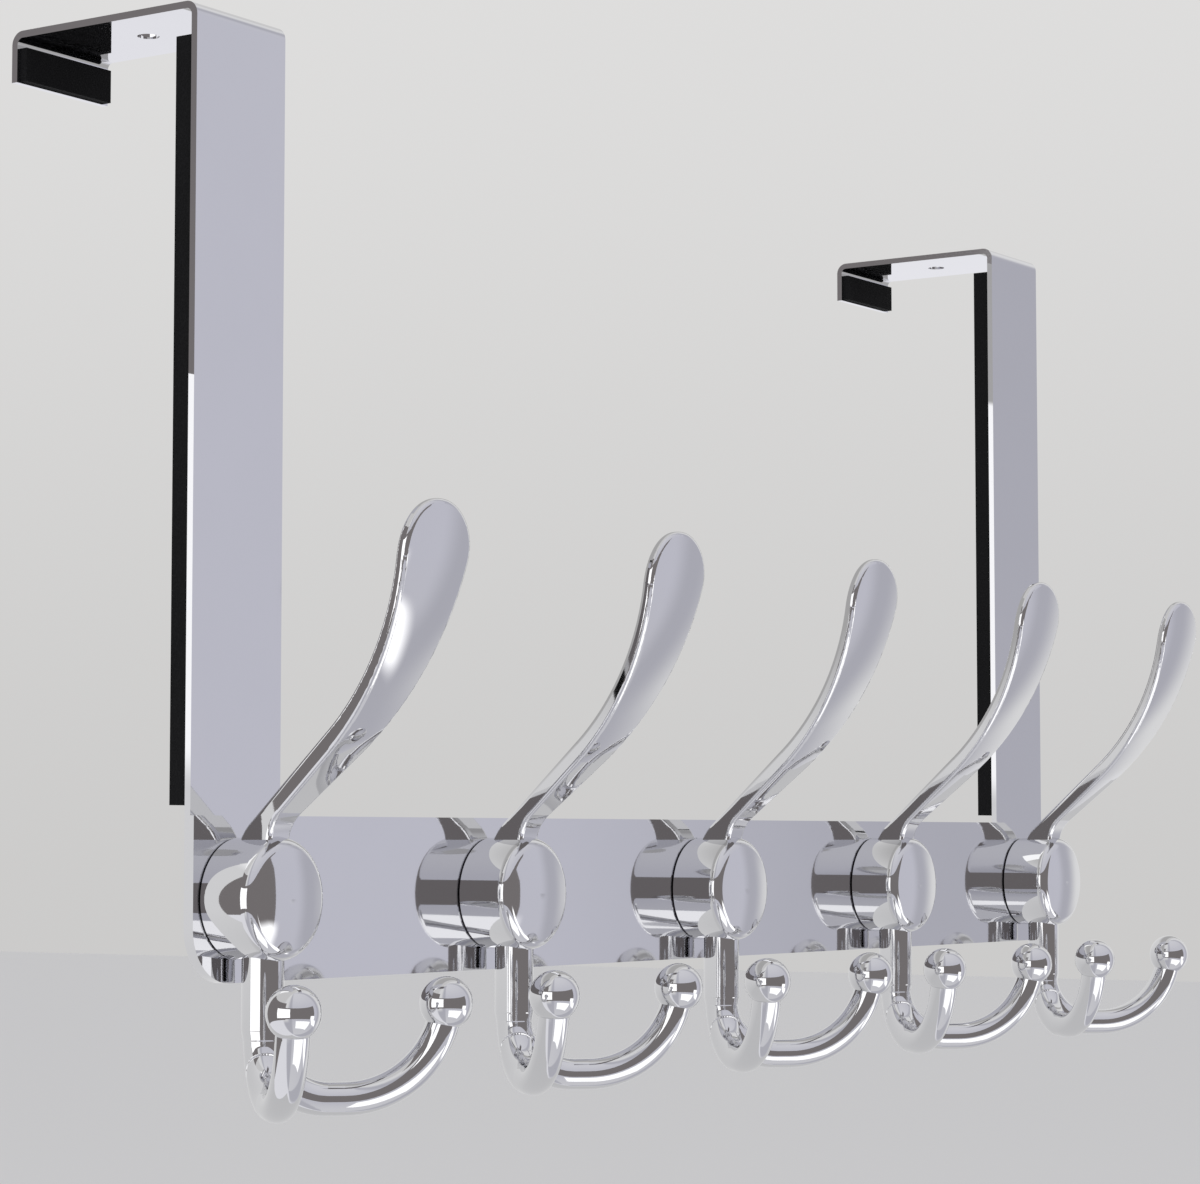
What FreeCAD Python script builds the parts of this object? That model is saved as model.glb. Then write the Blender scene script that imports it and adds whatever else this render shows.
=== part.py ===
import FreeCAD, Part
import math
import os
import Sketcher

# Over door hook: two bent steel brackets hang over a top edge and together carry
# a shallow pressed rail with five cast triple hooks, each held by one screw from
# behind. Foam pads line both sides of each bracket.
#
# Frame: +X runs along the rail, +Z is up and the hooks reach towards -Y. The
# origin lies on the underside of the two top legs, half way between their holes.

doc = FreeCAD.newDocument("over_door_hook")
sheet = doc.addObject("Spreadsheet::Sheet", "Sizes")
# Sizes in millimetres and degrees. Each one goes into its own named cell of the sheet.
SIZES = {
    # Brackets, bent from one flat strip each.
    "strap_width": 30.0,  # width of the strip
    "strap_thick": 1.6,  # thickness of the strip
    "bend_radius": 1.5,  # inside radius of both bends
    "edge_gap": 44.5,  # clear space between the two pads
    "leg_reach": 175.1,  # underside of the top leg down to the rail's top edge
    "lip_length": 10.0,  # underside of the top leg down to the end of the lip
    "top_hole_dia": 5.0,  # round hole in the top leg
    "tongue_length": 25.0,  # how far the leg's narrowed end reaches into the rail
    # Foam pads glued to the inside of each bracket.
    "leg_pad_thick": 5.2,  # pad behind the long leg
    "lip_pad_thick": 1.9,  # pad inside the short lip
    "pad_inset": 1.0,  # pad edge to strip edge
    "leg_pad_top_gap": 5.6,  # underside of the top leg down to the long pad
    "leg_pad_low_gap": 2.2,  # lower end of the long pad above the rail
    "lip_pad_top_gap": 2.1,  # underside of the top leg down to the lip pad
    "lip_pad_low_gap": 0.3,  # lower end of the lip pad above the end of the lip
    # Rail, pressed from thin sheet with a returned edge all round.
    "rail_length": 402.0,  # length, flush with the outer edges of both brackets
    "rail_height": 36.0,  # height of the face
    "sheet_thick": 1.0,  # thickness of the sheet
    "rail_corner": 12.0,  # radius of the two lower corners of the face
    "seat_clearance": 0.2,  # play between the bracket's tongue and the rail's edges
    # Hooks, cast in one piece and spaced evenly from bracket to bracket.
    "hook_count": 5,  # hooks on the rail
    "boss_dia": 26.4,  # round boss that sits on the face of the rail
    "boss_length": 13.6,  # face of the rail to the edge of the boss's dome
    "boss_dome": 1.45,  # height of the dome
    "boss_round": 2.75,  # rounding between side and dome
    "boss_bevel": 0.45,  # bevel of the rim that sits on the rail
    "boss_height": 18.1,  # centre of the boss above the rail's lower edge
    # Upper arm: a flat blade that leans forward, then turns upright.
    "arm_height": 83.9,  # centre of the boss up to the tip
    "arm_back_setoff": 2.3,  # face of the rail to the back of the arm's root
    "arm_root_depth": 9.0,  # depth of the root from back to front
    "arm_root_width": 7.3,  # width of the root
    "arm_lean": 50.0,  # lean of the middle of the arm from upright
    "arm_kink_height": 13.5,  # centre of the boss up to where the back turns forward
    "arm_neck_thick": 4.0,  # thickness of the leaning part
    "arm_tip_setoff": 52.4,  # face of the rail to the back of the tip
    "arm_tip_thick": 2.6,  # depth of the tip from back to front
    "arm_tip_lean": 6.0,  # lean that is left at the tip
    "arm_kink_radius": 9.0,  # bend radius at the root
    "arm_back_radius": 66.0,  # bend radius of the upright turn, back face
    "arm_front_radius": 72.0,  # bend radius of the upright turn, front face
    "arm_flare": 7.7,  # flare of each side of the blade seen from the front
    "arm_flare_height": 14.9,  # centre of the boss up to where the flare starts
    "arm_flare_radius": 30.0,  # radius with which the sides turn into the flare
    "arm_tip_round": 11.1,  # radius of the two upper corners, almost a full round
    "arm_tip_flat": 0.25,  # least flat left between them, from the middle to one side
    "arm_tip_straight": 1.5,  # least straight length left between the turn and the tip
    "arm_edge_round": 1.0,  # rounding of the blade's long edges
    # Stem below the boss and the two lower arms with their ball ends.
    "stem_setoff": 6.9,  # face of the rail to the axis of the stem
    "stem_dia": 9.2,  # diameter under the boss
    "stem_straight": 28.0,  # centre of the boss down to where the taper starts
    "stem_end_dia": 4.6,  # diameter at the rounded lower end
    "stem_end_round": 2.0,  # rounding of the lower end
    "stem_end_depth": 40.0,  # centre of the boss down to the end of the stem
    "fork_depth": 42.75,  # centre of the boss down to the lowest point of an arm's axis
    "fork_radius": 14.0,  # radius with which an arm's axis leaves the stem
    "fork_level": 3.6,  # level run of the axis at its lowest point
    "branch_root_dia": 8.4,  # diameter of a lower arm inside the stem
    "branch_dia": 7.2,  # diameter of a lower arm from its lowest point on
    "ball_dia": 11.6,  # diameter of a ball
    "ball_side": 26.0,  # ball centre sideways from the stem
    "ball_front": 36.6,  # ball centre from the face of the rail
    "ball_depth": 22.5,  # ball centre below the centre of the boss
    # Hook screws, driven from behind into the bosses.
    "screw_dia": 5.0,  # shank
    "screw_length": 12.0,  # length under the head
    "screw_head_dia": 9.0,  # head
    "screw_head_thick": 2.4,  # thickness of the head
    "screw_head_round": 1.4,  # rounding of the head
    "bore_clearance": 0.1,  # play all round the shank in the boss
    "bore_depth": 12.5,  # depth of the blind hole in the boss
    "hole_clearance": 0.25,  # play all round the shank in the sheet and the strip
}
for row, (alias, value) in enumerate(SIZES.items(), 1):
    sheet.set("A%d" % row, alias.replace("_", " "))
    sheet.set("B%d" % row, str(value))
    sheet.setAlias("B%d" % row, alias)
doc.recompute()

# Lengths that follow from the sizes above.
INNER = "(Sizes.edge_gap + Sizes.leg_pad_thick + Sizes.lip_pad_thick)"
LEG_BACK = "(-" + INNER + " / 2)"
LIP_FACE = "(" + INNER + " / 2)"
RAIL_TOP = "(-Sizes.leg_reach)"
RAIL_LOW = "(-Sizes.leg_reach - Sizes.rail_height)"
RAIL_DEPTH = "(Sizes.strap_thick + Sizes.sheet_thick)"
END_AXIS = "((Sizes.rail_length - Sizes.strap_width) / 2)"
PITCH = "((Sizes.rail_length - Sizes.strap_width) / (Sizes.hook_count - 1))"
BOSS_Z = "(-Sizes.leg_reach - Sizes.rail_height + Sizes.boss_height)"
FACE_Y = "(-" + INNER + " / 2 - Sizes.strap_thick - Sizes.sheet_thick)"


def number(text):
    value = sheet.evalExpression(text)
    return float(getattr(value, "Value", value))


def new_body(label):
    body = doc.addObject("PartDesign::Body", label)
    body.Label = label
    return body


def plane(body, role):
    for feature in body.Origin.OriginFeatures:
        if feature.Role == role:
            return feature
    raise ValueError("no plane " + role)


def new_sketch(body, name, role):
    sketch = body.newObject("Sketcher::SketchObject", name)
    sketch.AttachmentSupport = [(plane(body, role), "")]
    sketch.MapMode = "FlatFace"
    return sketch


def bind(sketch, kind, first, place, text):
    # One size of a sketch, tied to the sheet.
    value = sketch.evalExpression(text)
    value = float(getattr(value, "Value", value))
    if kind == "Radius":
        constraint = Sketcher.Constraint("Radius", first, value)
    else:
        constraint = Sketcher.Constraint(kind, -1, 1, first, place, value)
    index = sketch.addConstraint(constraint)
    name = kind[0].lower() + kind[-1].lower() + str(index)
    sketch.renameConstraint(index, name)
    sketch.setExpression("Constraints." + name, text)


def outline(sketch, corners):
    # A closed outline through named corners (across, up, radius or None). Every
    # corner is tied to the sheet, and a rounded one keeps its sharp corner as a
    # construction point that both of its lines run through.
    points = [FreeCAD.Vector(number(c[0]), number(c[1]), 0) for c in corners]
    radii = [number(c[2]) if c[2] else 0.0 for c in corners]
    count = len(points)
    starts = []
    ends = []
    for k in range(count):
        here = points[k]
        back = (points[k - 1] - here).normalize()
        ahead = (points[(k + 1) % count] - here).normalize()
        turn = back.getAngle(ahead)
        trim = radii[k] / math.tan(turn / 2) if radii[k] else 0.0
        ends.append(here + back * trim)
        starts.append(here + ahead * trim)
    lines = []
    for k in range(count):
        segment = Part.LineSegment(starts[k], ends[(k + 1) % count])
        lines.append(sketch.addGeometry(segment, False))
    for k in range(count):
        before = lines[k - 1]
        after = lines[k]
        if not radii[k]:
            sketch.addConstraint(Sketcher.Constraint("Coincident", before, 2, after, 1))
            bind(sketch, "DistanceX", after, 1, corners[k][0])
            bind(sketch, "DistanceY", after, 1, corners[k][1])
            continue
        back = (points[k - 1] - points[k]).normalize()
        ahead = (points[(k + 1) % count] - points[k]).normalize()
        half = back.getAngle(ahead) / 2
        middle = points[k] + (back + ahead).normalize() * (radii[k] / math.sin(half))
        inner = middle + (points[k] - middle).normalize() * radii[k]
        arc = Part.Arc(ends[k], inner, starts[k])
        bow = sketch.addGeometry(arc, False)
        low = sketch.getPoint(bow, 1)
        flipped = low.distanceToPoint(ends[k]) > low.distanceToPoint(starts[k])
        first, last = (2, 1) if flipped else (1, 2)
        sketch.addConstraint(Sketcher.Constraint("Tangent", before, 2, bow, first))
        sketch.addConstraint(Sketcher.Constraint("Tangent", bow, last, after, 1))
        corner = sketch.addGeometry(Part.Point(points[k]), True)
        sketch.addConstraint(Sketcher.Constraint("PointOnObject", corner, 1, before))
        sketch.addConstraint(Sketcher.Constraint("PointOnObject", corner, 1, after))
        bind(sketch, "DistanceX", corner, 1, corners[k][0])
        bind(sketch, "DistanceY", corner, 1, corners[k][1])
        bind(sketch, "Radius", bow, 0, corners[k][2])


def circle(sketch, across, up, radius):
    centre = FreeCAD.Vector(number(across), number(up), 0)
    ring = sketch.addGeometry(Part.Circle(centre, FreeCAD.Vector(0, 0, 1), number(radius)), False)
    bind(sketch, "DistanceX", ring, 3, across)
    bind(sketch, "DistanceY", ring, 3, up)
    bind(sketch, "Radius", ring, 0, radius)


def pad(body, sketch, name, length, midplane=False, reverse=False):
    feature = body.newObject("PartDesign::Pad", name)
    feature.Profile = sketch
    feature.setExpression("Length", length)
    feature.Midplane = midplane
    feature.Reversed = reverse
    sketch.Visibility = False
    return feature


def pocket(body, sketch, name, length=None, reverse=False):
    # Cuts along the sketch's normal; with no length it goes through both ways.
    feature = body.newObject("PartDesign::Pocket", name)
    feature.Profile = sketch
    if length:
        feature.setExpression("Length", length)
        feature.Reversed = reverse
    else:
        feature.Type = "ThroughAll"
        feature.Midplane = True
    sketch.Visibility = False
    doc.recompute()
    if feature.Shape.Volume >= feature.BaseFeature.Shape.Volume - 1e-6:
        raise ValueError(name + " removes nothing")
    return feature


def revolve(body, sketch, name, axis):
    feature = body.newObject("PartDesign::Revolution", name)
    feature.Profile = sketch
    feature.ReferenceAxis = (sketch, [axis])
    feature.Angle = 360
    sketch.Visibility = False
    return feature


def place(body, across, along, up):
    body.setExpression("Placement.Base.x", across)
    body.setExpression("Placement.Base.y", along)
    body.setExpression("Placement.Base.z", up)


# Rail: a tray that is open to the back. Its own frame has the middle of the
# lower edge, in the plane of the tray's rim, at the origin.
rail = new_body("rail")
half_rail = "Sizes.rail_length / 2"
face = new_sketch(rail, "rail_face", "XZ_Plane")
outline(face, [
    ("-" + half_rail, "0", "Sizes.rail_corner"),
    (half_rail, "0", "Sizes.rail_corner"),
    (half_rail, "Sizes.rail_height", None),
    ("-" + half_rail, "Sizes.rail_height", None),
])
pad(rail, face, "rail_blank", RAIL_DEPTH)

tray = new_sketch(rail, "rail_tray", "XZ_Plane")
inner_half = "(Sizes.rail_length / 2 - Sizes.sheet_thick)"
outline(tray, [
    ("-" + inner_half, "Sizes.sheet_thick", "Sizes.rail_corner - Sizes.sheet_thick"),
    (inner_half, "Sizes.sheet_thick", "Sizes.rail_corner - Sizes.sheet_thick"),
    (inner_half, "Sizes.rail_height - Sizes.sheet_thick", None),
    ("-" + inner_half, "Sizes.rail_height - Sizes.sheet_thick", None),
])
pocket(rail, tray, "rail_hollow", "Sizes.strap_thick", True)

# A gap in the upper returned edge at each end lets the bracket's tongue in.
for side in ("-", ""):
    gate = new_sketch(rail, "tongue_gate", "XZ_Plane")
    outer = side + inner_half
    inner = side + "(Sizes.rail_length / 2 - Sizes.strap_width + Sizes.sheet_thick)"
    outline(gate, [
        (outer, "Sizes.rail_height - 2 * Sizes.sheet_thick", None),
        (inner, "Sizes.rail_height - 2 * Sizes.sheet_thick", None),
        (inner, "Sizes.rail_height + Sizes.sheet_thick", None),
        (outer, "Sizes.rail_height + Sizes.sheet_thick", None),
    ])
    pocket(rail, gate, "tongue_gap", "Sizes.strap_thick", True)

# One screw hole behind each hook.
holes = new_sketch(rail, "rail_screw_holes", "XZ_Plane")
hole_radius = "Sizes.screw_dia / 2 + Sizes.hole_clearance"
hooks = int(number("Sizes.hook_count"))
for k in range(hooks):
    circle(holes, PITCH + " * " + str(k) + " - " + END_AXIS, "Sizes.boss_height", hole_radius)
pocket(rail, holes, "rail_screw_cuts")
place(rail, "0", LEG_BACK, RAIL_LOW)


def make_bracket(label, side):
    # Its own frame is the axis of its hole on the underside of the top leg.
    body = new_body(label)
    strip = new_sketch(body, label + "_strip", "YZ_Plane")
    outside = "Sizes.bend_radius + Sizes.strap_thick"
    foot = RAIL_TOP + " - Sizes.tongue_length"
    outline(strip, [
        (LEG_BACK + " - Sizes.strap_thick", foot, None),
        (LEG_BACK + " - Sizes.strap_thick", "Sizes.strap_thick", outside),
        (LIP_FACE + " + Sizes.strap_thick", "Sizes.strap_thick", outside),
        (LIP_FACE + " + Sizes.strap_thick", "-Sizes.lip_length", None),
        (LIP_FACE, "-Sizes.lip_length", None),
        (LIP_FACE, "0", "Sizes.bend_radius"),
        (LEG_BACK, "0", "Sizes.bend_radius"),
        (LEG_BACK, foot, None),
    ])
    pad(body, strip, label + "_bent", "Sizes.strap_width", True)

    # The leg is notched on both sides below the rail's top edge, so that the
    # tongue passes between the rail's end and its own gap in the upper edge.
    for hand in ("-", ""):
        notch = new_sketch(body, label + "_notch", "XZ_Plane")
        tongue = hand + "(Sizes.strap_width / 2 - Sizes.sheet_thick - Sizes.seat_clearance)"
        edge = hand + "Sizes.strap_width"
        below = foot + " - Sizes.strap_width"
        outline(notch, [
            (edge, below, None),
            (tongue, below, None),
            (tongue, RAIL_TOP, None),
            (edge, RAIL_TOP, None),
        ])
        pocket(body, notch, label + "_shoulder")

    # Hole for the hook's screw through the tongue.
    screw_hole = new_sketch(body, label + "_screw_hole", "XZ_Plane")
    circle(screw_hole, "0", BOSS_Z, hole_radius)
    pocket(body, screw_hole, label + "_screw_cut")

    # Round hole in the middle of the top leg.
    top_hole = new_sketch(body, label + "_top_hole", "XY_Plane")
    circle(top_hole, "0", "0", "Sizes.top_hole_dia / 2")
    pocket(body, top_hole, label + "_top_cut")
    place(body, side + END_AXIS, "0", "0")
    return body


def make_pad(label, side, back, front, top, low):
    # A plain strip of foam, as wide as the bracket less its insets.
    body = new_body(label)
    section = new_sketch(body, label + "_section", "YZ_Plane")
    outline(section, [
        (back, low, None),
        (front, low, None),
        (front, top, None),
        (back, top, None),
    ])
    pad(body, section, label + "_foam", "Sizes.strap_width - 2 * Sizes.pad_inset", True)
    place(body, side + END_AXIS, "0", "0")
    return body


parts = [rail]
for name, side in (("left", "-"), ("right", "")):
    parts.append(make_bracket("bracket_" + name, side))
    parts.append(make_pad(
        "leg_pad_" + name, side,
        LEG_BACK, LEG_BACK + " + Sizes.leg_pad_thick",
        "-Sizes.leg_pad_top_gap", RAIL_TOP + " + Sizes.leg_pad_low_gap"))
    parts.append(make_pad(
        "lip_pad_" + name, side,
        LIP_FACE, LIP_FACE + " - Sizes.lip_pad_thick",
        "-Sizes.lip_pad_top_gap", "-Sizes.lip_length + Sizes.lip_pad_low_gap"))


def blade_edges(shape):
    # The long edges of the blade: each lies between a face that runs along X
    # (front or back) and one that runs along Y (side or end).
    names = []
    for index, edge in enumerate(shape.Edges):
        kinds = set()
        for candidate in shape.ancestorsOfType(edge, Part.Face):
            u0, u1, v0, v1 = candidate.ParameterRange
            normal = candidate.normalAt((u0 + u1) / 2, (v0 + v1) / 2)
            if abs(normal.x) < 1e-6 and abs(normal.z) < 0.999:
                kinds.add("profile")
            elif abs(normal.y) < 1e-6:
                kinds.add("outline")
        if len(kinds) == 2 and edge.BoundBox.ZMax > number("Sizes.boss_dia / 2"):
            names.append("Edge" + str(index + 1))
    return names


def place_hook(body, index):
    place(body, PITCH + " * " + str(index) + " - " + END_AXIS, FACE_Y, BOSS_Z)


def make_hook(label):
    # Its own frame is the centre of the boss on the face of the rail.
    body = new_body(label)
    lean = "tan(Sizes.arm_lean * 1 deg)"
    slant = "cos(Sizes.arm_lean * 1 deg)"
    root_back = "-Sizes.arm_back_setoff"
    root_front = "-(Sizes.arm_back_setoff + Sizes.arm_root_depth)"
    offset = "Sizes.arm_neck_thick / " + slant
    front_kink = "Sizes.arm_kink_height + (Sizes.arm_root_depth - " + offset + ") / " + lean

    # Height and setoff of the corner where the leaning line of a face meets the
    # line through its tip, from the setoffs of the line's foot and of the tip.
    upright = "tan(Sizes.arm_tip_lean * 1 deg)"
    corner = (
        "((%s - %s + " + lean + " * Sizes.arm_kink_height - " + upright
        + " * Sizes.arm_height) / (" + lean + " - " + upright + "))")
    back_tip = "Sizes.arm_tip_setoff"
    front_tip = "(Sizes.arm_tip_setoff + Sizes.arm_tip_thick)"
    back_corner = corner % (back_tip, "Sizes.arm_back_setoff")
    front_corner = corner % (front_tip, "(Sizes.arm_back_setoff + " + offset + ")")
    setoff = "-(%s - " + upright + " * (Sizes.arm_height - %s))"

    # The rounding of the turn ends before the tip, in the length that its face leaves.
    half_turn = "tan((Sizes.arm_lean - Sizes.arm_tip_lean) / 2 * 1 deg)"
    left = "((Sizes.arm_height - %s) / cos(Sizes.arm_tip_lean * 1 deg) - Sizes.arm_tip_straight)"
    room = "min(%s; " + left + " / " + half_turn + ")"
    back_bend = room % ("Sizes.arm_back_radius", back_corner)
    front_bend = room % ("Sizes.arm_front_radius", front_corner)

    # Side view of the upper arm, padded to more than its width.
    side_view = new_sketch(body, label + "_arm_side", "YZ_Plane")
    outline(side_view, [
        (root_back, "0", None),
        (root_back, "Sizes.arm_kink_height", "Sizes.arm_kink_radius"),
        (setoff % (back_tip, back_corner), back_corner, back_bend),
        ("-" + back_tip, "Sizes.arm_height", None),
        ("-" + front_tip, "Sizes.arm_height", None),
        (setoff % (front_tip, front_corner), front_corner, front_bend),
        (root_front, front_kink, "Sizes.arm_kink_radius"),
        (root_front, "0", None),
    ])
    pad(body, side_view, label + "_arm_slab", "Sizes.boss_dia * 2", True)

    # Front view of the upper arm: all outside this outline is cut away.
    front_view = new_sketch(body, label + "_arm_front", "XZ_Plane")
    root_half = "Sizes.arm_root_width / 2"
    top_half = (
        "(Sizes.arm_root_width / 2 + (Sizes.arm_height - Sizes.arm_flare_height)"
        " * tan(Sizes.arm_flare * 1 deg))")
    tip_round = (
        "min(Sizes.arm_tip_round; (" + top_half
        + " - Sizes.arm_tip_flat) * tan((90 - Sizes.arm_flare) / 2 * 1 deg))")
    outline(front_view, [
        ("-" + root_half, "-Sizes.boss_dia", None),
        (root_half, "-Sizes.boss_dia", None),
        (root_half, "Sizes.arm_flare_height", "Sizes.arm_flare_radius"),
        (top_half, "Sizes.arm_height", tip_round),
        ("-" + top_half, "Sizes.arm_height", tip_round),
        ("-" + root_half, "Sizes.arm_flare_height", "Sizes.arm_flare_radius"),
    ])
    outline(front_view, [
        ("-Sizes.boss_dia * 2", "-Sizes.boss_dia * 2", None),
        ("Sizes.boss_dia * 2", "-Sizes.boss_dia * 2", None),
        ("Sizes.boss_dia * 2", "Sizes.arm_height * 2", None),
        ("-Sizes.boss_dia * 2", "Sizes.arm_height * 2", None),
    ])
    blade = pocket(body, front_view, label + "_arm_blade")

    soft = body.newObject("PartDesign::Fillet", label + "_arm_edges")
    soft.Base = (blade, blade_edges(blade.Shape))
    soft.setExpression("Radius", "Sizes.arm_edge_round")
    doc.recompute()

    # Round boss with a low dome, turned about the Y axis.
    boss = new_sketch(body, label + "_boss_half", "XY_Plane")
    draw_boss(boss)
    revolve(body, boss, label + "_boss", "V_Axis")

    # Stem, turned about its own upright axis, from inside the boss to a round end.
    stem = new_sketch(body, label + "_stem_half", "YZ_Plane")
    stem.setExpression("AttachmentOffset.Base.x", "-Sizes.stem_setoff")
    outline(stem, [
        ("0", "0", None),
        ("0", "-Sizes.stem_end_depth", None),
        ("-Sizes.stem_end_dia / 2", "-Sizes.stem_end_depth", "Sizes.stem_end_round"),
        ("-Sizes.stem_dia / 2", "-Sizes.stem_straight", None),
        ("-Sizes.stem_dia / 2", "0", None),
    ])
    revolve(body, stem, label + "_stem", "V_Axis")

    # Two lower arms and their balls. Each arm is a round bar that narrows from the
    # stem to its lowest point and then keeps its diameter up to the ball.
    angle = "atan2(Sizes.ball_front - Sizes.stem_setoff; Sizes.ball_side)"
    for hand, turn in (("", ""), ("-", "180 deg - ")):
        route = new_sketch(body, label + "_branch_route", "XZ_Plane")
        draw_route(route)
        route.AttachmentOffset = FreeCAD.Placement(
            FreeCAD.Vector(0, 0, 0), FreeCAD.Rotation(FreeCAD.Vector(0, 1, 0), -1.0))
        route.setExpression("AttachmentOffset.Base.z", "Sizes.stem_setoff")
        route.setExpression("AttachmentOffset.Rotation.Angle", "-(" + turn + angle + ")")
        ring = new_sketch(body, label + "_branch_ring", "XY_Plane")
        circle(ring, "0", "-Sizes.stem_setoff", "Sizes.branch_root_dia / 2")
        ring.setExpression("AttachmentOffset.Base.z", "Sizes.fork_radius - Sizes.fork_depth")
        low_ring = new_sketch(body, label + "_branch_low_ring", "YZ_Plane")
        circle(low_ring, "0", "-Sizes.fork_depth", "Sizes.branch_dia / 2")
        low_ring.AttachmentOffset = FreeCAD.Placement(
            FreeCAD.Vector(0, 0, 0), FreeCAD.Rotation(FreeCAD.Vector(0, 1, 0), -1.0))
        low_ring.setExpression("AttachmentOffset.Rotation.Angle", "-(" + turn + angle + ")")
        low_ring.setExpression(
            "AttachmentOffset.Base.x",
            "-Sizes.stem_setoff - Sizes.fork_radius * sin(" + angle + ")")
        low_ring.setExpression(
            "AttachmentOffset.Base.z", hand + "Sizes.fork_radius * cos(" + angle + ")")
        branch = body.newObject("PartDesign::AdditivePipe", label + "_branch")
        branch.Profile = ring
        branch.Spine = (route, ["Edge1"])
        branch.Transformation = "Multisection"
        branch.Sections = [(low_ring, [""])]
        rest = body.newObject("PartDesign::AdditivePipe", label + "_branch_rise")
        rest.Profile = low_ring
        rest.Spine = (route, ["Edge2", "Edge3"])
        ring.Visibility = False
        low_ring.Visibility = False
        route.Visibility = False

        ball = body.newObject("PartDesign::AdditiveSphere", label + "_ball")
        ball.AttachmentSupport = [(plane(body, "XY_Plane"), "")]
        ball.MapMode = "FlatFace"
        ball.setExpression("Radius", "Sizes.ball_dia / 2")
        ball.setExpression("AttachmentOffset.Base.x", hand + "Sizes.ball_side")
        ball.setExpression("AttachmentOffset.Base.y", "-Sizes.ball_front")
        ball.setExpression("AttachmentOffset.Base.z", "-Sizes.ball_depth")
    doc.recompute()

    # Blind hole for the screw.
    bore = new_sketch(body, label + "_bore_circle", "XZ_Plane")
    circle(bore, "0", "0", "Sizes.screw_dia / 2 + Sizes.bore_clearance")
    pocket(body, bore, label + "_bore", "Sizes.bore_depth", True)
    return body


def make_twin(label, original):
    # Another casting from the same mould: a body whose base is the first one.
    base = doc.addObject("PartDesign::FeatureBase", label + "_base")
    base.BaseFeature = original
    body = new_body(label)
    body.Group = [base]
    body.Tip = base
    return body


def draw_boss(sketch):
    # Half section right of the axis: side, rounded edge and shallow dome.
    radius = number("Sizes.boss_dia / 2")
    length = number("Sizes.boss_length")
    dome = number("Sizes.boss_dome")
    rim = number("Sizes.boss_round")
    swell = (radius * radius + dome * dome) / (2 * dome)
    centre_y = -(length + dome - swell)
    inner_r = radius - rim
    reach = math.sqrt((swell - rim) ** 2 - inner_r ** 2)
    round_y = centre_y - reach
    touch = FreeCAD.Vector(inner_r, round_y - centre_y, 0).normalize()
    edge = touch * swell + FreeCAD.Vector(0, centre_y, 0)
    side = FreeCAD.Vector(radius, round_y, 0)
    apex = FreeCAD.Vector(0, -(length + dome), 0)
    middle = FreeCAD.Vector(edge.x / 2, 0, 0)
    middle.y = centre_y - math.sqrt(swell * swell - middle.x * middle.x)
    bow = FreeCAD.Vector(inner_r, round_y, 0)
    bow += (touch + FreeCAD.Vector(1, 0, 0)).normalize() * rim
    bevel = number("Sizes.boss_bevel")
    foot = FreeCAD.Vector(radius - bevel, 0, 0)
    heel = FreeCAD.Vector(radius, -bevel, 0)
    base = sketch.addGeometry(Part.LineSegment(FreeCAD.Vector(0, 0, 0), foot), False)
    slope = sketch.addGeometry(Part.LineSegment(foot, heel), False)
    wall = sketch.addGeometry(Part.LineSegment(heel, side), False)
    corner = sketch.addGeometry(Part.Arc(side, bow, edge), False)
    cap = sketch.addGeometry(Part.Arc(edge, middle, apex), False)
    axis = sketch.addGeometry(Part.LineSegment(apex, FreeCAD.Vector(0, 0, 0)), False)
    near = [1 if sketch.getPoint(g, 1).distanceToPoint(p) < 1e-6 else 2 for g, p in ((corner, side), (cap, edge))]
    far = [3 - n for n in near]
    sketch.addConstraint(Sketcher.Constraint("Coincident", base, 1, -1, 1))
    sketch.addConstraint(Sketcher.Constraint("Coincident", base, 2, slope, 1))
    sketch.addConstraint(Sketcher.Constraint("Coincident", slope, 2, wall, 1))
    sketch.addConstraint(Sketcher.Constraint("Horizontal", base))
    sketch.addConstraint(Sketcher.Constraint("Vertical", wall))
    sketch.addConstraint(Sketcher.Constraint("Tangent", wall, 2, corner, near[0]))
    sketch.addConstraint(Sketcher.Constraint("Tangent", corner, far[0], cap, near[1]))
    sketch.addConstraint(Sketcher.Constraint("Coincident", cap, far[1], axis, 1))
    sketch.addConstraint(Sketcher.Constraint("Coincident", axis, 2, base, 1))
    sketch.addConstraint(Sketcher.Constraint("Vertical", axis))
    sketch.addConstraint(Sketcher.Constraint("PointOnObject", cap, 3, -2))
    bind(sketch, "DistanceX", base, 2, "Sizes.boss_dia / 2 - Sizes.boss_bevel")
    bind(sketch, "DistanceX", wall, 1, "Sizes.boss_dia / 2")
    bind(sketch, "DistanceY", wall, 1, "-Sizes.boss_bevel")
    bind(sketch, "DistanceY", axis, 1, "-(Sizes.boss_length + Sizes.boss_dome)")
    bind(sketch, "Radius", corner, 0, "Sizes.boss_round")
    bind(sketch, "Radius", cap, 0, "((Sizes.boss_dia / 2) ^ 2 + Sizes.boss_dome ^ 2) / (2 * Sizes.boss_dome)")


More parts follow.
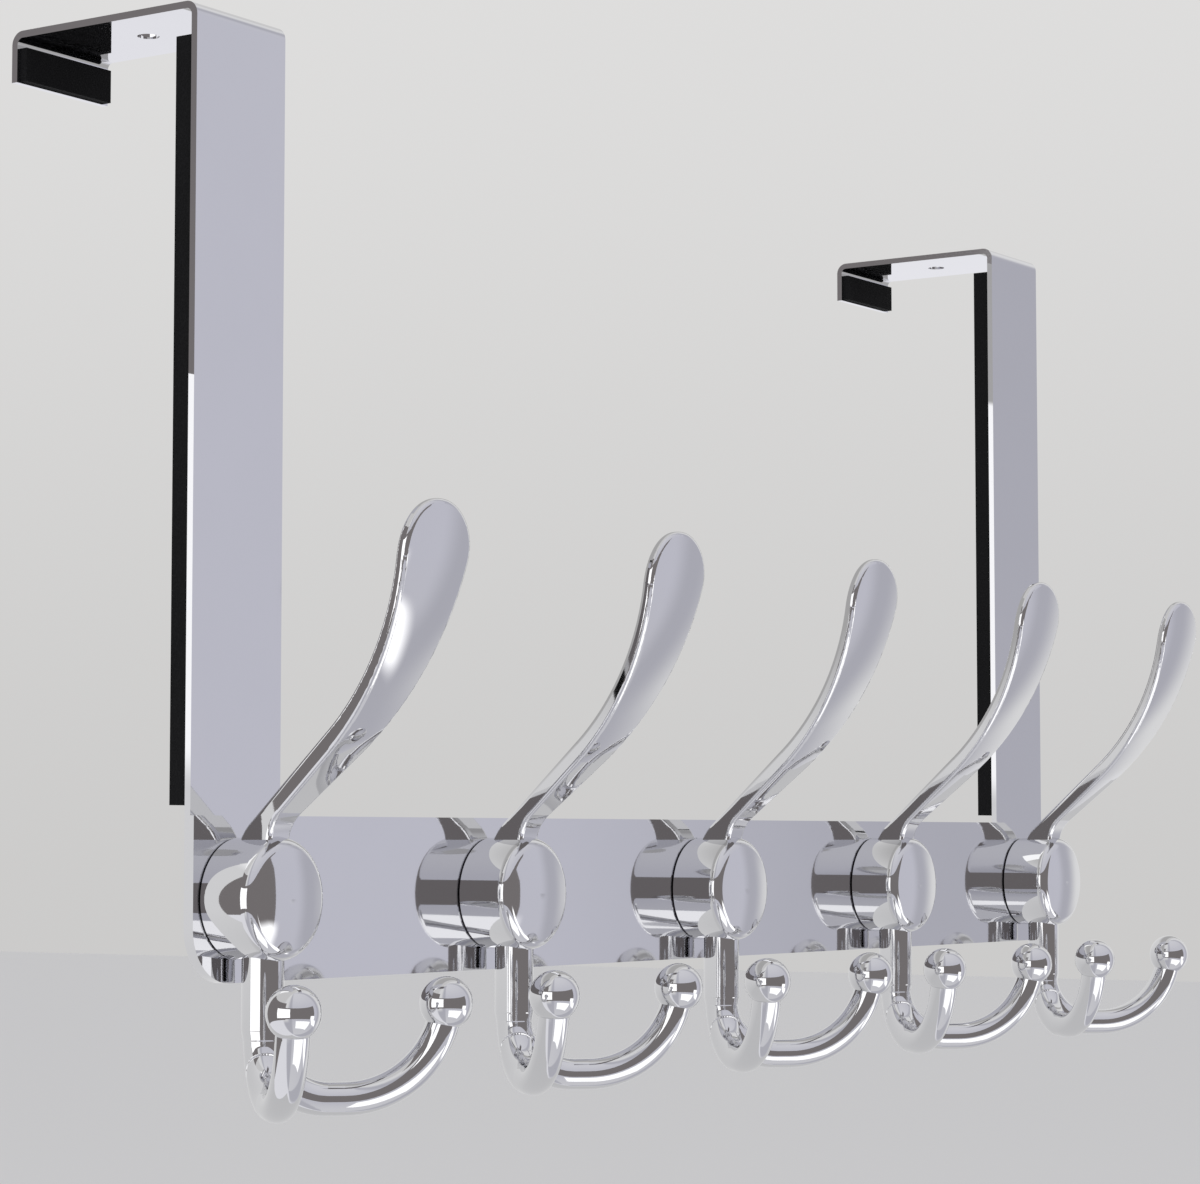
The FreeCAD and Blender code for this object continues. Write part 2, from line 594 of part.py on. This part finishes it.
def draw_route(sketch):
    # Axis of a lower arm in its own upright plane: a quarter turn away from the
    # stem, a short level run, then one arc up to the centre of the ball.
    run = number("sqrt(Sizes.ball_side ^ 2 + (Sizes.ball_front - Sizes.stem_setoff) ^ 2)")
    low = number("-Sizes.fork_depth")
    lead = number("Sizes.fork_radius")
    turn = number("Sizes.fork_radius + Sizes.fork_level")
    end = FreeCAD.Vector(run, number("-Sizes.ball_depth"), 0)
    across = run - turn
    rise = end.y - low
    sweep = (across * across + rise * rise) / (2 * rise)
    half = math.atan2(across, sweep - rise) / 2
    vector = FreeCAD.Vector
    start = vector(0, low + lead, 0)
    first_bow = vector(lead * (1 - math.sqrt(0.5)), low + lead * (1 - math.sqrt(0.5)), 0)
    bottom = vector(lead, low, 0)
    lift = vector(turn, low, 0)
    second_bow = vector(turn + sweep * math.sin(half), low + sweep * (1 - math.cos(half)), 0)
    first = sketch.addGeometry(Part.Arc(start, first_bow, bottom), False)
    level = sketch.addGeometry(Part.LineSegment(bottom, lift), False)
    second = sketch.addGeometry(Part.Arc(lift, second_bow, end), False)
    a = 1 if sketch.getPoint(first, 1).distanceToPoint(start) < 1e-6 else 2
    b = 1 if sketch.getPoint(second, 1).distanceToPoint(lift) < 1e-6 else 2
    sketch.addConstraint(Sketcher.Constraint("Tangent", first, 3 - a, level, 1))
    sketch.addConstraint(Sketcher.Constraint("Tangent", level, 2, second, b))
    bind(sketch, "DistanceX", first, a, "0")
    bind(sketch, "DistanceY", first, a, "Sizes.fork_radius - Sizes.fork_depth")
    bind(sketch, "DistanceX", first, 3, "Sizes.fork_radius")
    bind(sketch, "DistanceY", first, 3, "Sizes.fork_radius - Sizes.fork_depth")
    bind(sketch, "DistanceX", second, b, "Sizes.fork_radius + Sizes.fork_level")
    bind(sketch, "DistanceX", second, 3 - b,
         "sqrt(Sizes.ball_side ^ 2 + (Sizes.ball_front - Sizes.stem_setoff) ^ 2)")
    bind(sketch, "DistanceY", second, 3 - b, "-Sizes.ball_depth")


def make_screw(label, index, seat):
    # Its own frame is the centre of the head's seat; the shank points to -Y.
    body = new_body(label)
    half = new_sketch(body, label + "_half", "XY_Plane")
    outline(half, [
        ("0", "Sizes.screw_head_thick", None),
        ("0", "-Sizes.screw_length", None),
        ("Sizes.screw_dia / 2", "-Sizes.screw_length", None),
        ("Sizes.screw_dia / 2", "0", None),
        ("Sizes.screw_head_dia / 2", "0", None),
        ("Sizes.screw_head_dia / 2", "Sizes.screw_head_thick", "Sizes.screw_head_round"),
    ])
    revolve(body, half, label + "_turned", "V_Axis")
    place(body, PITCH + " * " + str(index) + " - " + END_AXIS, seat, BOSS_Z)
    return body


# The two end screws bear on the brackets' tongues, the others on the sheet.
pattern = make_hook("hook_1")
for k in range(hooks):
    hook = pattern if k == 0 else make_twin("hook_" + str(k + 1), pattern)
    place_hook(hook, k)
    parts.append(hook)
    on_tongue = k in (0, hooks - 1)
    seat = LEG_BACK if on_tongue else LEG_BACK + " - Sizes.strap_thick"
    parts.append(make_screw("hook_screw_" + str(k + 1), k, seat))
doc.recompute()

for item in doc.Objects:
    if "Invalid" in item.State or "Error" in item.State:
        raise ValueError(item.Name + " failed: " + str(item.State))
for item in parts:
    if item.Shape.isNull() or not item.Shape.isValid() or len(item.Shape.Solids) != 1:
        raise ValueError(item.Label + " is not one valid solid")

os.makedirs("parts", exist_ok=True)
total = 0.0
for item in parts:
    item.Shape.exportStep("parts/" + item.Label + ".step")
    total += item.Shape.Volume
    box = item.Shape.BoundBox
    print("%-16s %9.1f mm3  x %7.1f %7.1f  y %6.1f %6.1f  z %7.1f %7.1f" % (
        item.Label, item.Shape.Volume, box.XMin, box.XMax, box.YMin, box.YMax, box.ZMin, box.ZMax))
print("all parts %.1f mm3" % total)
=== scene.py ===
# %% [markdown]
# # A chrome coat rail that hangs over a top edge
#
# This lesson dresses a finished CAD model in Blender. The model is a sheet steel
# rail, two bent straps with foam pads, five cast triple hooks and their screws.
# The shapes are already right, so the work here is finish and light: polished
# chrome has almost no colour of its own, and what makes it look like chrome is
# what stands around it. We load the model first and measure it. The sizes after
# that are given as plain numbers in the model's frame.

# %% Load the imported model
import math

import bpy
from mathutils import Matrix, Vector


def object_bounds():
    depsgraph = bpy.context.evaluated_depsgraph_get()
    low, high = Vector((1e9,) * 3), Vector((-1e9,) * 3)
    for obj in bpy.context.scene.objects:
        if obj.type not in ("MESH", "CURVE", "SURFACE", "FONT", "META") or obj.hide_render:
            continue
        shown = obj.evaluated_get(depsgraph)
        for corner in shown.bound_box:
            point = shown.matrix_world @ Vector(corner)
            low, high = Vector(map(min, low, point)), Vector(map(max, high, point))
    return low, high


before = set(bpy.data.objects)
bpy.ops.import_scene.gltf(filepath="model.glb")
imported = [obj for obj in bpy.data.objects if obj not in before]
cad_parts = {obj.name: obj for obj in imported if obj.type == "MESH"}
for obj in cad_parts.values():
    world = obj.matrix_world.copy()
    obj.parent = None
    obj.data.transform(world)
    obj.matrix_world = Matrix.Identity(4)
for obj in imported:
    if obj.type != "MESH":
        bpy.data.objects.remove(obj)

cad_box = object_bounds()
scene = bpy.context.scene
scene.view_settings.view_transform = "Standard"
low, high = cad_box
print("nodes:", len(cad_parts), "size in metres:", [round(v, 4) for v in high - low])

# %% [markdown]
# ## Shader maths that reads like maths
#
# Blender builds materials from nodes. Placing each Math node by hand hides the
# idea behind it, so this small class wraps one output socket and lets Python's
# own operators add the Math nodes. The reflected forms let a plain number stand
# on the left, as in 1 - mask.


# %% A socket that can be added and multiplied
class Value:
    def __init__(self, tree, socket):
        self.tree = tree
        self.socket = socket

    def math(self, operation, *others):
        return self.tree.add("ShaderNodeMath", {"operation": operation}, [self, *others])

    def __add__(self, other):
        return self.math("ADD", other)

    def __sub__(self, other):
        return self.math("SUBTRACT", other)

    def __mul__(self, other):
        return self.math("MULTIPLY", other)

    def __truediv__(self, other):
        return self.math("DIVIDE", other)

    def __rsub__(self, other):
        return self.tree.add("ShaderNodeMath", {"operation": "SUBTRACT"}, [other, self])

    __radd__ = __add__
    __rmul__ = __mul__


# %% [markdown]
# Every other node comes from one method, add. It takes the node's type, its
# settings and the values or links for its sockets, and hands back the wrapped
# output. Three short names stand for what this lesson asks for most: one part of a
# vector, a soft step from 0 to 1, and a blend of two colours.


# %% One method for any node
class Tree:
    def __init__(self, node_tree):
        self.nodes = node_tree.nodes
        self.links = node_tree.links
        self.nodes.clear()

    def add(self, kind, settings=None, inputs=None, out=0):
        node = self.nodes.new(kind)
        for name, value in (settings or {}).items():
            if name == "stops":
                self.set_stops(node.color_ramp, value)
            else:
                setattr(node, name, value)
        pairs = enumerate(inputs) if isinstance(inputs, list) else (inputs or {}).items()
        for key, value in pairs:
            if isinstance(value, Value):
                self.links.new(value.socket, node.inputs[key])
            else:
                node.inputs[key].default_value = value
        return Value(self, node.outputs[out]) if len(node.outputs) else None

    def set_stops(self, ramp, stops):
        while len(ramp.elements) < len(stops):
            # The new stop's place doesn't matter: the loop below moves it.
            ramp.elements.new(0.5)
        for element, (place, colour) in zip(ramp.elements, stops):
            element.position = place
            element.color = (*colour, 1.0)

    def part(self, vector, axis):
        return self.add("ShaderNodeSeparateXYZ", None, {"Vector": vector}, out=axis)

    def step(self, value, start, end):
        # Rises smoothly from 0 to 1 while value goes from start to end.
        return self.add("ShaderNodeMapRange", {"interpolation_type": "SMOOTHSTEP"},
                        {"Value": value, "From Min": start, "From Max": end})

    def blend(self, share, first, second):
        # Goes from the first colour to the second while share goes from 0 to 1.
        return self.add("ShaderNodeMix", {"data_type": "RGBA"},
                        {"Factor": share, "A": first, "B": second}, out=2)


# %% Start a material, and put it on pieces by name
def new_material(name):
    material = bpy.data.materials.new(name)
    material.use_nodes = True
    return material, Tree(material.node_tree)


def dress(names, material):
    for name in names:
        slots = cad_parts[name].data.materials
        slots.clear()
        slots.append(material)
    print(material.name, "on", ", ".join(names))


# %% [markdown]
# ## The camera
#
# The picture was taken from the left and a little below the middle of the straps,
# so that the row of hooks runs away to the right. Position, angle and focal length
# were worked out from the straight edges and the five equal spaces between the
# hooks. They are set as plain numbers in the frame of the CAD model.

# %% Place the camera
CAMERA_PLACE = (-0.74925, -0.50228, -0.18024)
CAMERA_YAW = 56.014
CAMERA_PITCH = 4.197
CAMERA_LENS = 101.18
SENSOR_WIDTH = 36.0
NEAREST = 0.01
FARTHEST = 50.0

camera_data = bpy.data.cameras.new("camera")
camera_data.lens = CAMERA_LENS
camera_data.sensor_width = SENSOR_WIDTH
camera_data.clip_start = NEAREST
camera_data.clip_end = FARTHEST
camera = bpy.data.objects.new("camera", camera_data)
camera.location = CAMERA_PLACE
camera.rotation_euler = (math.radians(90 + CAMERA_PITCH), 0.0, math.radians(-CAMERA_YAW))
scene.collection.objects.link(camera)
scene.camera = camera
away = (Vector(CAMERA_PLACE) - (low + high) / 2).length
print("camera is", round(away, 3), "m from the middle")

# %% [markdown]
# ## Mirror chrome
#
# Chrome plate is a thin, very even mirror. Its own colour is a pale, slightly cool
# grey. A real plated part still isn't perfect: polishing leaves a very faint
# unevenness, which shows as a slight change of sharpness in what it mirrors. A
# large, weak noise (the cloud) drives the colour and the roughness, and a second
# one (the ripple) bends the surface by a few thousandths of a millimetre. Every
# noise is laid out in the object's own coordinates, in metres, so the grain keeps
# its size on long and short pieces alike.

# %% Chrome plate for cast and pressed parts
CLOUD = {"Scale": 38.0, "Detail": 3.0, "Roughness": 0.6}
RIPPLE = {"Scale": 70.0, "Detail": 1.0}
RIPPLE_HEIGHT = 0.000006
CLOUD_LIFT = 1.03
CLOUD_ROUGH = 0.03
# Colour of the painted shade line where a boss meets the rail.
JOINT_SHADE_COLOUR = (0.03, 0.03, 0.032, 1.0)


def chrome(name, tint, rough, crown=None, shade_line=None):
    # Crown adds height to the mirror; the mask in the last argument paints a dark line of shade into
    # the colour.
    material, tree = new_material(name)
    place = tree.add("ShaderNodeTexCoord", out="Object")
    cloud = tree.add("ShaderNodeTexNoise", None, {"Vector": place, **CLOUD}, out="Fac")
    ripple = tree.add("ShaderNodeTexNoise", None, {"Vector": place, **RIPPLE}, out="Fac")
    pale = [min(1.0, channel * CLOUD_LIFT) for channel in tint]
    shade = tree.blend(cloud, (*tint, 1.0), (*pale, 1.0))
    # Painted shade: darkens the colour along the joint between boss and rail.
    if shade_line:
        shade = tree.blend(shade_line(tree, place), shade, JOINT_SHADE_COLOUR)
    height = ripple * RIPPLE_HEIGHT
    if crown:
        height = height + crown(tree, place)
    bump = tree.add("ShaderNodeBump", None, {"Height": height, "Strength": 1.0, "Distance": 1.0})
    surface = tree.add("ShaderNodeBsdfPrincipled", None, {
        "Base Color": shade,
        "Metallic": 1.0,
        "Roughness": rough + cloud * CLOUD_ROUGH,
        "Normal": bump,
    })
    tree.add("ShaderNodeOutputMaterial", None, {"Surface": surface})
    return material


# %% [markdown]
# ## The rail and the straps
#
# The rail is pressed from thin sheet and the straps are bent from flat bar. Both
# come from rolled stock, so their faces are flat and mirror the room as one even
# tone. They need nothing beyond the plain plate.

# %% Dress the pressed parts
SHEET_TINT = (0.70, 0.70, 0.72)
SHEET_ROUGH = 0.03

dress(["bracket_left", "bracket_right", "rail"], chrome("sheet_chrome", SHEET_TINT, SHEET_ROUGH))

# %% [markdown]
# ## The cast hooks
#
# Each hook is cast, ground and polished on a soft wheel before it is plated. The
# wheel never leaves a broad face quite flat: the blade ends up a little higher
# along its middle, so a mirrored lamp fades out across it. Where the stem starts
# to narrow towards the two lower arms, the wheel also takes off the crease.
#
# Both forms are far too low to show in the outline, so two height fields bend the
# mirror instead. The five hooks stand at equal spaces, and wrapping the position
# along the rail by that space makes one formula fit all five.


# %% Height left by the polishing wheel
PITCH = 0.093
BLADE_FOOT = -0.176
BLADE_RUN = 0.010
BLADE_CROWN = -4.4

STEM_Y = -0.0353
STEM_RADIUS = 0.0048
STEM_TAPER = -0.2211
STEM_DROP = 0.0021
STEM_SOFT = 0.0005
STEM_SLOPE = 0.19
STEM_EDGE = 1.1


def wheel_height(tree, place):
    up = tree.part(place, "Z")
    side = tree.part(place, "X").math("WRAP", PITCH / 2, -PITCH / 2)
    on_blade = tree.step(up, BLADE_FOOT, BLADE_FOOT + BLADE_RUN)
    crown = side * side * BLADE_CROWN * on_blade

    # How far below the start of the taper a point lies, counted on the stem only.
    back = tree.part(place, "Y") - STEM_Y
    reach = STEM_RADIUS ** 2
    on_stem = 1.0 - tree.step(side * side + back * back, reach, reach * STEM_EDGE)
    drop = (STEM_TAPER - up).math("SMOOTH_MAX", 0.0, STEM_SOFT).math("MINIMUM", STEM_DROP)
    return crown + drop * STEM_SLOPE * on_stem


# %% [markdown]
# Where a boss stands on the rail, shade falls into the joint. That shade is painted into the colour
# as a fine dark line that goes round.
# It depends only on the depth behind the rail's face, which is why the same soft
# step serves all the hooks.


# %% The painted shade in the joint, and dress the hooks
RAIL_FACE = -0.0284
SHADE_LINE_NEAR = 0.0004
SHADE_LINE_DEEP = 0.0002
CAST_TINT = (0.70, 0.70, 0.715)
CAST_ROUGH = 0.02


def joint_shade_mask(tree, place):
    # Mask of the painted shade line: 0 up to 0.4 mm in front of the rail's face, and 1 from 0.2 mm in
    # front of it.
    return tree.step(tree.part(place, "Y"), RAIL_FACE - SHADE_LINE_NEAR, RAIL_FACE - SHADE_LINE_DEEP)


hooks = ["hook_%d" % (i + 1) for i in range(5)]
dress(hooks, chrome("cast_chrome", CAST_TINT, CAST_ROUGH, wheel_height, joint_shade_mask))

# %% [markdown]
# ## Foam pads
#
# The pads are die-cut strips of closed-cell foam: black, dry and slightly pitted,
# with a darker, rougher look where the cut opens the cells. Two noises at the
# scale of the cells give the grain, one for colour and one for height. Foam hardly
# shines, so the mirror part of the material is turned down.

# %% Black cell foam
FOAM_CELLS = 2200.0
FOAM_CLOUD = {"Scale": 160.0, "Detail": 4.0}
FOAM_DARK = (0.003, 0.003, 0.0035, 1.0)
FOAM_PALE = (0.011, 0.011, 0.012, 1.0)
CELL_SHARE = 0.6
FOAM_ROUGH = 0.75
FOAM_ROUGH_RANGE = 0.15
FOAM_SHINE = 0.12
CELL_DEPTH = 0.0002
CLOUD_IN_HEIGHT = 0.5
BUMP_STRENGTH = 0.5


def foam(name):
    material, tree = new_material(name)
    place = tree.add("ShaderNodeTexCoord", out="Object")
    cells = tree.add("ShaderNodeTexVoronoi", {"feature": "F1"},
                     {"Vector": place, "Scale": FOAM_CELLS}, out="Distance")
    cloud = tree.add("ShaderNodeTexNoise", None, {"Vector": place, **FOAM_CLOUD}, out="Fac")
    grain = cells * CELL_SHARE + cloud * (1.0 - CELL_SHARE)
    bump = tree.add("ShaderNodeBump", None, {
        "Height": cells + cloud * CLOUD_IN_HEIGHT,
        "Strength": BUMP_STRENGTH,
        "Distance": CELL_DEPTH,
    })
    surface = tree.add("ShaderNodeBsdfPrincipled", None, {
        "Base Color": tree.blend(grain, FOAM_DARK, FOAM_PALE),
        "Roughness": FOAM_ROUGH + cloud * FOAM_ROUGH_RANGE,
        "Specular IOR Level": FOAM_SHINE,
        "Normal": bump,
    })
    tree.add("ShaderNodeOutputMaterial", None, {"Surface": surface})
    return material


pads = ["leg_pad_left", "leg_pad_right", "lip_pad_left", "lip_pad_right"]
dress(pads, foam("black_foam"))

# %% [markdown]
# ## Screw steel
#
# The screws behind the rail are never looked at, so they are plain steel with a
# thin coat of zinc: duller than the chrome, and faintly cloudy from the bath.

# %% Zinc-plated steel
ZINC_CLOUD = {"Scale": 700.0, "Detail": 4.0}
ZINC_DARK = (0.50, 0.50, 0.50, 1.0)
ZINC_PALE = (0.66, 0.66, 0.64, 1.0)
ZINC_ROUGH = 0.25
ZINC_ROUGH_RANGE = 0.2


def zinc(name):
    material, tree = new_material(name)
    place = tree.add("ShaderNodeTexCoord", out="Object")
    cloud = tree.add("ShaderNodeTexNoise", None, {"Vector": place, **ZINC_CLOUD}, out="Fac")
    surface = tree.add("ShaderNodeBsdfPrincipled", None, {
        "Base Color": tree.blend(cloud, ZINC_DARK, ZINC_PALE),
        "Metallic": 1.0,
        "Roughness": ZINC_ROUGH + cloud * ZINC_ROUGH_RANGE,
    })
    tree.add("ShaderNodeOutputMaterial", None, {"Surface": surface})
    return material


screws = ["hook_screw_%d" % (i + 1) for i in range(5)]
dress(screws, zinc("screw_zinc"))

# %% [markdown]
# ## The studio
#
# A mirror shows its surroundings, so a product photographer builds them. Round
# this part stand a long dark flag, which gives every curve a crisp dark line, and
# a few lamp faces, which give the small bright patches on bosses, balls and blades.
#
# All of them are sheets that only mirrors can see: they throw no light on matt
# surfaces and cast no shadow. Where a sheet has to stand is easiest to say as a
# direction from the part, so a bearing is the first thing we need.


# %% Directions from the part
MIDDLE = Vector((0.0, 0.0, -0.19))


def bearing(yaw, pitch, distance):
    # A point seen from the middle of the rail. Yaw is 0 along -Y and grows towards +X.
    turn = math.radians(yaw)
    rise = math.radians(pitch)
    flat = math.cos(rise)
    return MIDDLE + distance * Vector((math.sin(turn) * flat, -math.cos(turn) * flat, math.sin(rise)))


# %% A sheet that only mirrors see
def mirror_sheet(name, points, faces, material):
    mesh = bpy.data.meshes.new(name)
    mesh.from_pydata(points, [], faces)
    mesh.materials.append(material)
    sheet = bpy.data.objects.new(name, mesh)
    sheet.visible_camera = False
    sheet.visible_diffuse = False
    sheet.visible_shadow = False
    scene.collection.objects.link(sheet)
    return mesh


# %% [markdown]
# A lamp face has a plain glow. A large soft box is brightest in its middle, so a
# glow can also fade out over a share of the sheet's width and height, measured
# along the sheet's own two map coordinates.


# %% The glow of a sheet
def glow(name, colour, soft):
    material, tree = new_material(name)
    light = tree.add("ShaderNodeEmission", None, {"Color": (*colour, 1.0), "Strength": 1.0})
    if soft:
        place = tree.add("ShaderNodeTexCoord", out="UV")
        across = tree.part(place, "X")
        along = tree.part(place, "Y")
        fade = tree.step(across, 0.0, soft) * tree.step(1.0 - across, 0.0, soft)
        fade = fade * (tree.step(along, 0.0, soft) * tree.step(1.0 - along, 0.0, soft))
        clear = tree.add("ShaderNodeBsdfTransparent")
        light = tree.add("ShaderNodeMixShader", None, {0: fade, 1: clear, 2: light})
    tree.add("ShaderNodeOutputMaterial", None, {"Surface": light})
    return material


# %% A card bent round the part
CARD_STEPS = 24


def card(name, yaws, pitches, distance, colour, soft=0.0, slant=0.0):
    # A patch of a large ball. Slant shifts it sideways by so many degrees for
    # each degree of height.
    row = CARD_STEPS + 1
    points = []
    for j in range(row):
        for i in range(row):
            pitch = pitches[0] + (pitches[1] - pitches[0]) * j / CARD_STEPS
            lean = slant * (pitch - pitches[0])
            yaw = yaws[0] + (yaws[1] - yaws[0]) * i / CARD_STEPS + lean
            points.append(bearing(yaw, pitch, distance))
    corners = [j * row + i for j in range(CARD_STEPS) for i in range(CARD_STEPS)]
    faces = [(a, a + 1, a + row + 1, a + row) for a in corners]
    mesh = mirror_sheet(name, points, faces, glow(name, colour, soft))
    layer = mesh.uv_layers.new(name="place")
    for loop in mesh.loops:
        j, i = divmod(loop.vertex_index, row)
        layer.data[loop.index].uv = (i / CARD_STEPS, j / CARD_STEPS)
    print(name, "covers yaw", yaws, "and pitch", pitches)


# %% [markdown]
# Seen from the part, the camera stands at a yaw of -56 degrees, so the flat faces
# of the rail and the straps mirror what lies at about +50 to +63. That stretch
# stays free of cards. The flag runs from there round the camera's side to the
# back, a square lamp hangs in front of it, and the soft boxes stand low, where
# only the curved faces find them.

# %% Hang the flag and the lamp faces
FLAG = (0.225, 0.208, 0.208)
LAMP = (1.6, 1.6, 1.6)
LOW_LAMP = (1.5, 1.5, 1.5)
SOFT_BOX = (1.8, 1.8, 1.8)

FLAG_AWAY = 3.0
LAMP_AWAY = 2.8
SIDE_AWAY = 2.7

card("flag_left", (-200, -85), (-21, 38), FLAG_AWAY, FLAG)
card("flag_front", (-85, 37), (-19, 21), FLAG_AWAY, FLAG)
card("lamp_square", (-118, -66), (-14, 17), LAMP_AWAY, LAMP)
card("lamp_low", (-44, 21), (-56, -27), LAMP_AWAY, LOW_LAMP)
card("lamp_dome", (16, 41), (-21, -7), LAMP_AWAY, SOFT_BOX, soft=0.25)
card("lamp_side", (34, 69), (-37, -18), SIDE_AWAY, SOFT_BOX, soft=0.28, slant=-1.1)

# %% [markdown]
# ## The pale sheet behind the hooks
#
# The backs and sides of the arms turn away from the wall in front. In an empty
# room they would mirror nothing but grey and lose half of their contrast, so a
# pale sheet hangs close behind them, just behind the rail's face. Its upper left
# corner is cut out, and it is lightest at the height of the bosses. Beside the
# left edge of each strap it has a brighter strip, because that narrow edge shows
# as a white line in its lower half.

# %% Hang the pale sheet
SHEET_Y = -0.0205
SHEET_LOW = -0.70
SHEET_HIGH = -0.001
SHEET_RIGHT = 0.60
SHEET_LEFT = -0.215
CORNER_X = -0.204
CORNER_Z = -0.079

SHADE_START = -0.30
SHADE_SPAN = 0.20
SHEET_SHADES = [(0.25, (0.66, 0.66, 0.665)), (0.50, (0.84, 0.84, 0.84)),
                (0.65, (0.84, 0.84, 0.84)), (0.78, (0.50, 0.495, 0.49))]

STRAP_SPACE = 0.372
STRIP_COLOUR = (1.3, 1.3, 1.3, 1.0)
STRIP_SIDE = (-0.205, -0.2035)
STRIP_FOOT = (-0.170, -0.160)
STRIP_TOP = (-0.046, -0.044)

sheet_material, tree = new_material("pale_sheet")
place = tree.add("ShaderNodeTexCoord", out="Object")
height = tree.part(place, "Z")
shade = tree.add("ShaderNodeValToRGB", {"stops": SHEET_SHADES},
                 {"Fac": (height - SHADE_START) / SHADE_SPAN})
# Wrapping by the space between the straps makes one strip serve both.
beside = tree.part(place, "X").math("WRAP", SHEET_LEFT + STRAP_SPACE, SHEET_LEFT)
strip = (1.0 - tree.step(beside, *STRIP_SIDE)) * tree.step(height, *STRIP_FOOT)
strip = strip * (1.0 - tree.step(height, *STRIP_TOP))
light = tree.add("ShaderNodeEmission", None,
                 {"Color": tree.blend(strip, shade, STRIP_COLOUR), "Strength": 1.0})
tree.add("ShaderNodeOutputMaterial", None, {"Surface": light})

outline = [(SHEET_LEFT, SHEET_LOW), (SHEET_RIGHT, SHEET_LOW), (SHEET_RIGHT, SHEET_HIGH),
           (CORNER_X, SHEET_HIGH), (CORNER_X, CORNER_Z), (SHEET_LEFT, CORNER_Z)]
points = [(x, SHEET_Y, z) for x, z in outline]
mirror_sheet("pale_sheet", points, [tuple(range(len(points)))], sheet_material)
print("pale sheet is", round(SHEET_RIGHT - SHEET_LEFT, 3), "m wide")

# %% [markdown]
# ## The room
#
# Everything farther away is one colour of the world that changes with direction,
# and the camera and the mirrors see the same room. It has three parts:
#
# - the wall in front, a cool grey that the flat faces mirror; it is a little
#   darker towards the right, where the far strap finds its tone;
# - the side walls, nearly white, which put a bright rim on each dome;
# - the backdrop behind the part, a warm pale grey that grows lighter upwards. It
#   is pale again below the horizon, where the floor hides it from the camera and
#   only the undersides of the top legs mirror it.

# %% Light the room by direction
FRONT_WALL = [(0.0, (0.76, 0.76, 0.79)), (0.30, (0.66, 0.66, 0.72)), (0.42, (0.67, 0.67, 0.745)),
              (0.56, (0.67, 0.67, 0.75)), (0.75, (0.70, 0.70, 0.76)), (1.0, (0.80, 0.80, 0.84))]
FRONT_DARK = (0.49, 0.49, 0.545, 1.0)
FRONT_DARK_RUN = (-0.60, -0.47)
FRONT_DARK_SHARE = 0.75
SIDE_WALL = (0.88, 0.88, 0.88, 1.0)
SIDE_RUN = (-0.43, -0.18)
SIDE_FOOT = (-0.62, -0.34)
BACKDROP_LOW = (0.60, 0.595, 0.59, 1.0)
BACKDROP_HIGH = (0.74, 0.735, 0.73, 1.0)
BACKDROP_RISE = (-0.06, 0.30)
BELOW_HORIZON = (0.94, 0.94, 0.98, 1.0)
HORIZON_RUN = (-0.14, -0.08)
BACK_RUN = (0.0, 0.18)

world = bpy.data.worlds.new("studio")
scene.world = world
world.use_nodes = True
sky = Tree(world.node_tree)
direction = sky.add("ShaderNodeTexCoord", out="Generated")
up = sky.part(direction, "Z")
# How far round to the back a direction points, whatever its height: -1 is straight
# ahead of the part, 0 is sideways and 1 is straight behind it.
turn = sky.part(direction, "Y") / (1.0 - up * up).math("SQRT")
# The wall's colours run from straight down, 0, over the horizon, 0.5, to straight up, 1.
front = sky.add("ShaderNodeValToRGB", {"stops": FRONT_WALL}, {"Fac": up * 0.5 + 0.5})
front = sky.blend(sky.step(turn, *FRONT_DARK_RUN) * FRONT_DARK_SHARE, front, FRONT_DARK)
side = sky.step(turn, *SIDE_RUN) * sky.step(up, *SIDE_FOOT)
walls = sky.blend(side, front, SIDE_WALL)
backdrop = sky.blend(sky.step(up, *BACKDROP_RISE), BACKDROP_LOW, BACKDROP_HIGH)
backdrop = sky.blend(sky.step(up, *HORIZON_RUN), BELOW_HORIZON, backdrop)
room = sky.blend(sky.step(turn, *BACK_RUN), walls, backdrop)
light = sky.add("ShaderNodeBackground", None, {"Color": room, "Strength": 1.0})
sky.add("ShaderNodeOutputWorld", None, {"Surface": light})
print("room has", len(sky.nodes), "nodes")

# %% [markdown]
# ## The floor and the lamps
#
# The part hangs, so the floor lies well below it: a plain pale matt sheet in the
# tone of the backdrop, so that the two meet without a hard line. Mirrors leave it
# out and show the room there instead. Two large area lamps are enough for the matt
# surfaces, the foam and the floor.

# %% Lay the floor
FLOOR_Z = -0.62
FLOOR_HALF = 9
FLOOR_COLOUR = (0.76, 0.76, 0.755, 1.0)

floor_material, tree = new_material("pale_floor")
matt = tree.add("ShaderNodeBsdfDiffuse", None, {"Color": FLOOR_COLOUR})
tree.add("ShaderNodeOutputMaterial", None, {"Surface": matt})
mesh = bpy.data.meshes.new("floor")
signs = ((-1, -1), (1, -1), (1, 1), (-1, 1))
mesh.from_pydata([(FLOOR_HALF * x, FLOOR_HALF * y, FLOOR_Z) for x, y in signs], [], [(0, 1, 2, 3)])
mesh.materials.append(floor_material)
floor = bpy.data.objects.new("floor", mesh)
floor.visible_glossy = False
scene.collection.objects.link(floor)
print("floor lies", round(low.z - FLOOR_Z, 3), "m below the part")


# %% Hang two soft lamps
def soft_lamp(name, yaw, pitch, distance, size, power):
    data = bpy.data.lights.new(name, "AREA")
    data.size = size
    data.energy = power
    lamp = bpy.data.objects.new(name, data)
    lamp.location = bearing(yaw, pitch, distance)
    lamp.rotation_euler = (MIDDLE - lamp.location).to_track_quat("-Z", "Y").to_euler()
    lamp.visible_glossy = False
    scene.collection.objects.link(lamp)
    print(name, "lamp:", power, "W")


soft_lamp("key", yaw=-20, pitch=50, distance=2.2, size=1.2, power=10.0)
soft_lamp("fill", yaw=-100, pitch=15, distance=2.2, size=1.0, power=5.0)
